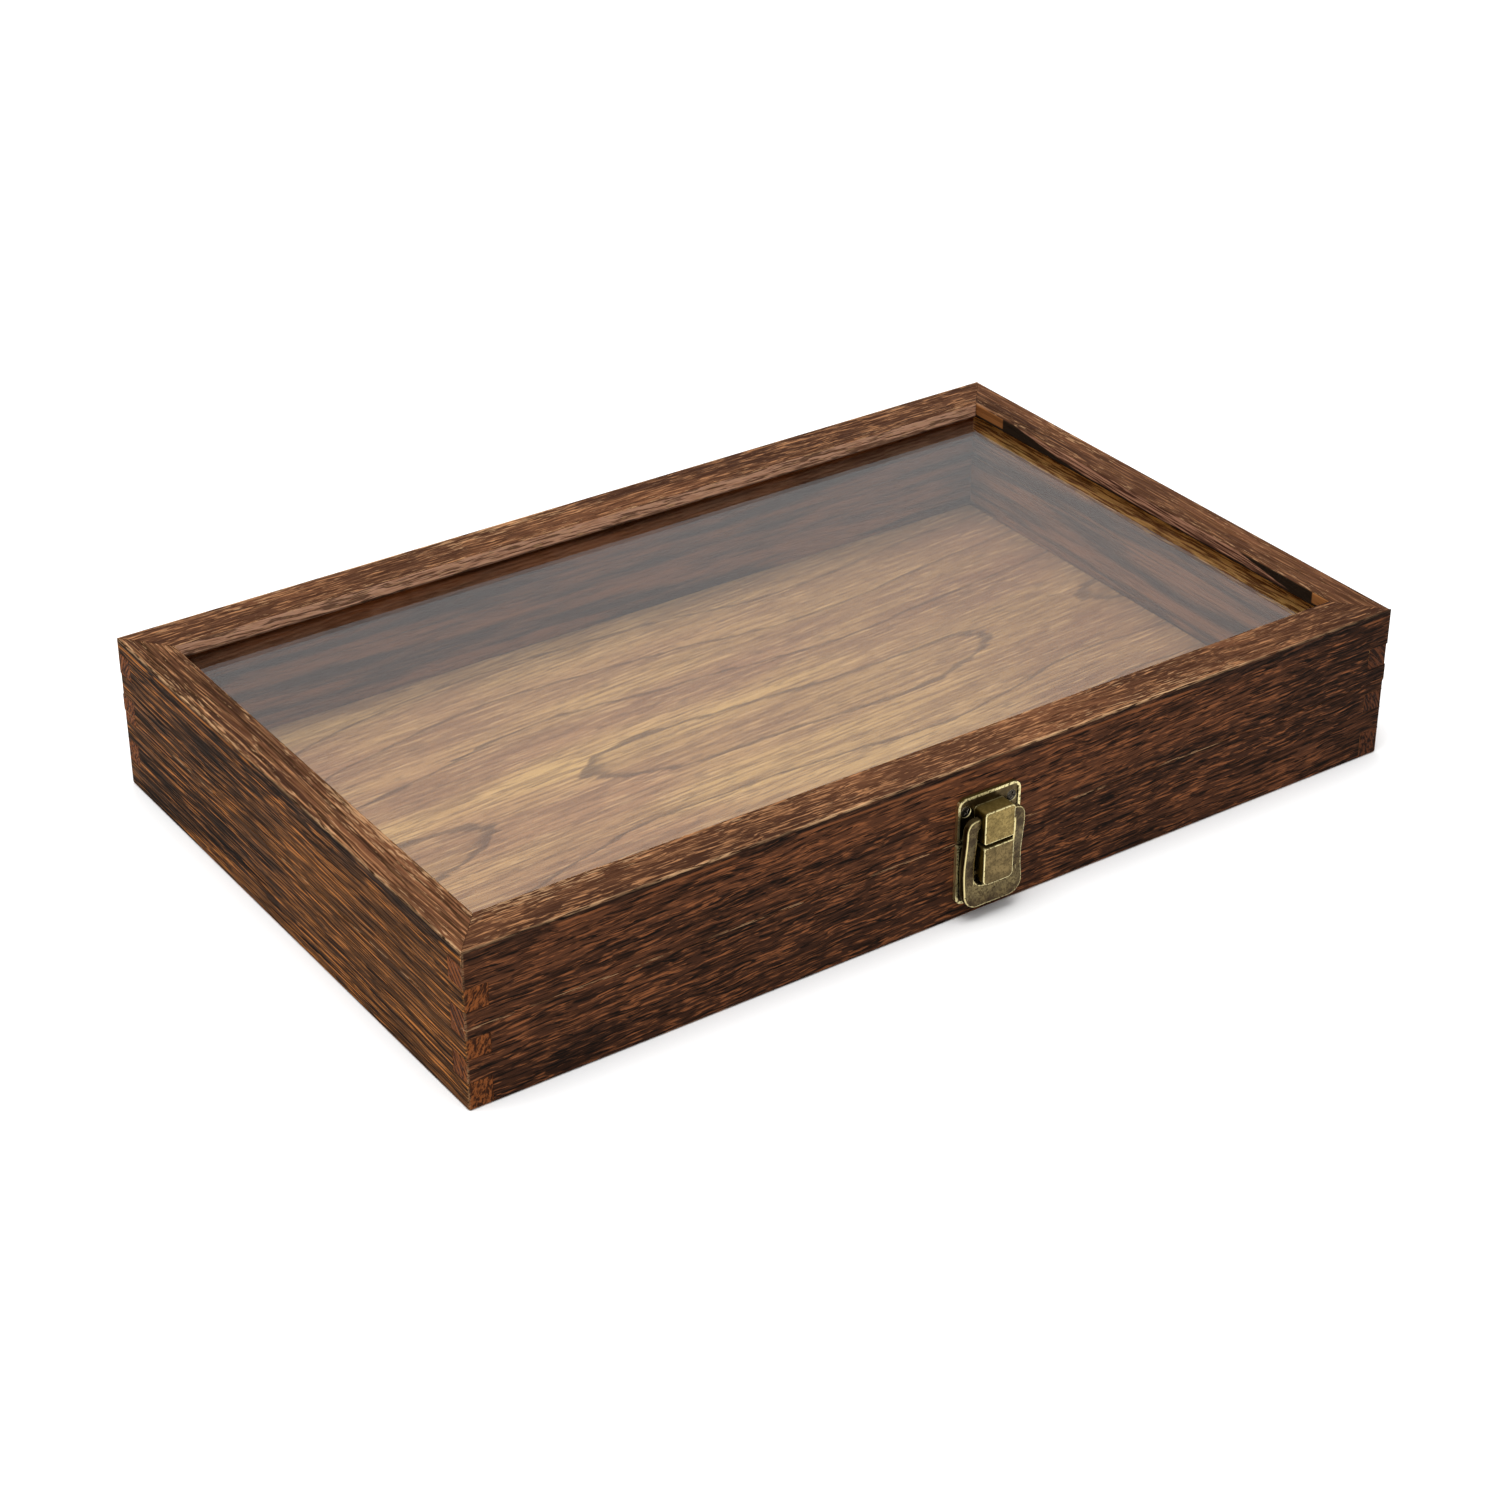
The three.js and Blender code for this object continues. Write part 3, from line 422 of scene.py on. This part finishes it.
OLIVE, TARNISH, RIM_WEAR_AND_HIGHLIGHT = linear(84, 68, 22), linear(46, 36, 22), linear(240, 226, 168)
PLATE_TONES = linear(62, 50, 32), linear(92, 78, 52)
BRASS = metal("antique_brass", linear(104, 90, 58), linear(128, 112, 72), linear(82, 68, 42), 0.40)
BRASS_RUBBED = metal(
    "antique_brass_rubbed", linear(160, 142, 92), linear(220, 204, 150), linear(120, 100, 58), 0.28)
BRASS_PLATE = metal("antique_brass_plate", *PLATE_TONES, TARNISH, 0.42, rim=RIM_WEAR_AND_HIGHLIGHT, flank=TARNISH)
BRASS_PULL = metal(
    "antique_brass_pull", linear(62, 50, 34), linear(98, 84, 56), linear(42, 32, 22), 0.36,
    rim=linear(214, 198, 142), flank=linear(70, 58, 32))
BRASS_BLOCK = metal(
    "antique_brass_block", linear(114, 97, 57), linear(142, 122, 74), linear(78, 65, 35), 0.32,
    rim=RIM_WEAR_AND_HIGHLIGHT, flank=OLIVE, plate=PLATE_TONES)
BRASS_TONGUE = metal(
    "antique_brass_tongue", linear(94, 79, 50), linear(120, 102, 66), linear(64, 53, 31), 0.34,
    rim=RIM_WEAR_AND_HIGHLIGHT, flank=OLIVE)
SCREW = metal("blackened_steel", linear(46, 42, 35), linear(86, 79, 68), linear(28, 24, 20), 0.30, 0.5)
# The screws' rounded edges: rubbed steel, and a painted glint.
SCREW_WORN_AND_GLINT = metal(
    "blackened_steel_worn_glint", linear(122, 114, 102), linear(184, 176, 162), linear(66, 60, 52), 0.24, 0.5)
SPRING = metal("spring_steel", linear(120, 118, 114), linear(176, 174, 170), linear(70, 62, 54), 0.32, 0.4)


# ---------------------------------------------------------------- meshes: weld, soften the edges

def welded(name, weight=None):
    """Geometry nodes that smooth a mesh but for its sharp edges. Without weight they first join its faces
    into one shell. With it they set how wide each sharp edge is rounded, from 0 to 1, as weight(x, y, z)."""
    tree = bpy.data.node_groups.new(name, "GeometryNodeTree")
    tree.interface.new_socket("Geometry", in_out="INPUT", socket_type="NodeSocketGeometry")
    tree.interface.new_socket("Geometry", in_out="OUTPUT", socket_type="NodeSocketGeometry")
    shape = Field(tree, make(tree, "NodeGroupInput").outputs[0])
    angle = Field(tree, make(tree, "GeometryNodeInputMeshEdgeAngle").outputs["Unsigned Angle"])
    sharp = angle.math("GREATER_THAN", SHARP)

    def step(kind, inputs, **settings):
        nonlocal shape
        shape = Field(tree, make(tree, kind, {"Geometry": shape, **inputs}, **settings).outputs[0])

    if weight is None:
        step("GeometryNodeMergeByDistance", {"Distance": WELD})
        step("GeometryNodeRemoveAttribute", {"Name": "custom_normal"})
    else:
        position = Field(tree, make(tree, "GeometryNodeInputPosition").outputs[0])
        place = make(tree, "ShaderNodeSeparateXYZ", {0: position})
        value = sharp * weight(*(Field(tree, socket) * MM for socket in place.outputs))
        step("GeometryNodeStoreNamedAttribute", {"Name": "bevel_weight_edge", "Value": value},
             domain="EDGE", data_type="FLOAT")
    step("GeometryNodeSetShadeSmooth", {"Shade Smooth": True}, domain="FACE")
    step("GeometryNodeSetShadeSmooth", {"Selection": sharp, "Shade Smooth": False}, domain="EDGE")
    out = make(tree, "NodeGroupOutput")
    tree.links.new(shape.socket, out.inputs[0])
    return tree


def case_edge(x, y, z):
    """1 along the outside edges of the case, less round the lip's opening and least at the joints."""
    to_x, to_y, to_z = HALF_X - abs(x), HALF_Y - abs(y), (HEIGHT - z).low(z)
    outside = to_x.low(to_y).high(to_z).low(to_x.high(to_y)).math("LESS_THAN", 0.05)
    to_side, to_long = abs(abs(x) - (HALF_X - SIDE_LIP)), abs(abs(y) - (HALF_Y - LONG_LIP))
    opening = to_side.low(to_long).math("LESS_THAN", 0.05)
    return outside * 0.78 + opening * 0.4 * (1 - outside) + 0.22


SHELL = welded("welded_shell")
CASE_EDGES = welded("case_edges", case_edge)


def soften(node, edge, edges=None, rubbed=None):
    """Rounds the sharp edges of a CAD node by modifiers. Its mesh stays as packed. edge is one of the widths
    above, edges the node group that varies it, and rubbed the material of the rounded edges."""
    width, segments = edge
    node.modifiers.new("weld", "NODES").node_group = SHELL
    flat = node.modifiers.new("flat", "DECIMATE")
    flat.decimate_type, flat.angle_limit = "DISSOLVE", FLAT
    if edges:
        node.modifiers.new("edges", "NODES").node_group = edges
    bevel = node.modifiers.new("bevel", "BEVEL")
    bevel.width, bevel.segments, bevel.use_clamp_overlap = width / MM, segments, True
    bevel.limit_method = "WEIGHT" if edges else "ANGLE"
    bevel.angle_limit = SHARP
    bevel.miter_outer = "MITER_ARC"
    if rubbed:
        node.data.materials.append(rubbed)
        bevel.material = 1
    normals = node.modifiers.new("normals", "WEIGHTED_NORMAL")
    normals.keep_sharp = True


def dress(names, material, **edges):
    """Gives CAD nodes a material and, if edges says how, rounded edges."""
    for name in names:
        node = NODES[name]
        for slot in node.material_slots:
            slot.material = material
        if edges:
            soften(node, **edges)


for side in ("front", "back", "left", "right"):
    dress([f"base_{side}_wall", f"lid_{side}_rail"], WOOD[side], edge=WOOD_EDGE, edges=CASE_EDGES)
dress(["bottom_panel"], walnut_veneer(), edge=PANEL_EDGE)
dress(["glass_pane"], pane_glass(), edge=PANEL_EDGE)

# The metal parts, by the record's material slots.
slots = {}
for node in NODES.values():
    slots.setdefault(node.material_slots[0].name.split(".")[0], []).append(node.name)
latch_brass = {
    "catch_plate": BRASS_BLOCK,
    "latch_base_plate": BRASS_PLATE,
    "latch_handle": BRASS_PULL,
    "latch_tongue": BRASS_TONGUE,
}
for name in slots["antique_brass"]:
    dress([name], latch_brass.get(name, BRASS), edge=BRASS_EDGE, rubbed=BRASS_RUBBED)
dress(slots["screw_steel"], SCREW, edge=SCREW_EDGE, rubbed=SCREW_WORN_AND_GLINT)
dress(slots["spring_steel"], SPRING)
for name in slots["spring_steel"]:
    NODES[name].modifiers.new("weld", "NODES").node_group = SHELL


# ---------------------------------------------------------------- floor, light and camera

def pale_floor(reach, sides):
    """A round pale floor as wide as the lamp keeps it white, so that it runs into the white room unseen."""
    mesh = bpy.data.meshes.new("floor")
    turns = [2 * math.pi * i / sides for i in range(sides)]
    rim = [(reach * math.cos(turn), reach * math.sin(turn), 0.0) for turn in turns]
    mesh.from_pydata(rim, [], [range(sides)])
    floor = bpy.data.objects.new("floor", mesh)
    bpy.context.scene.collection.objects.link(floor)
    s = Look("pale_floor", Roughness=0.9, **{"Base Color": linear(244, 244, 244), "Specular IOR Level": 0.0})
    mesh.materials.append(s.material)


def softbox(name, place, target, size, power):
    """A square lamp that looks at target."""
    light = bpy.data.lights.new(name, "AREA")
    light.shape, light.size, light.energy = "SQUARE", size, power
    lamp = bpy.data.objects.new(name, light)
    lamp.location = place
    lamp.rotation_euler = (Vector(target) - Vector(place)).to_track_quat("-Z", "Y").to_euler()
    # Seen from above, the two faces of the pane would mirror its square edge.
    lamp.visible_glossy = lamp.visible_transmission = False
    bpy.context.scene.collection.objects.link(lamp)


pale_floor(FLOOR_REACH, FLOOR_SIDES)
softbox("key", LAMP_PLACE, LAMP_TARGET, LAMP_SIZE, LAMP_POWER)

# The room lights the object with a soft white, and the camera sees it pure white behind the floor.
world = bpy.data.worlds.new("studio")
world.use_nodes = True
sky = world.node_tree.nodes["Background"]
sky.inputs["Color"].default_value = (1.0, 1.0, 1.0, 1.0)
seen = Field(world.node_tree, make(world.node_tree, "ShaderNodeLightPath").outputs["Is Camera Ray"])
feed(world.node_tree, seen.math("MAXIMUM", ROOM_LIGHT), sky.inputs["Strength"])
scene = bpy.context.scene
scene.world = world
scene.view_settings.view_transform = "Standard"

# back points from the target to the camera.
back = Vector((
    math.sin(AZIMUTH) * math.cos(ELEVATION),
    -math.cos(AZIMUTH) * math.cos(ELEVATION),
    math.sin(ELEVATION),
))
lens = bpy.data.cameras.new("camera")
lens.lens, lens.sensor_width, lens.clip_start = LENS, SENSOR, CLIP_START
camera = bpy.data.objects.new("camera", lens)
camera.location = TARGET + back * DISTANCE
camera.rotation_euler = (-back).to_track_quat("-Z", "Y").to_euler()
scene.collection.objects.link(camera)
scene.camera = camera
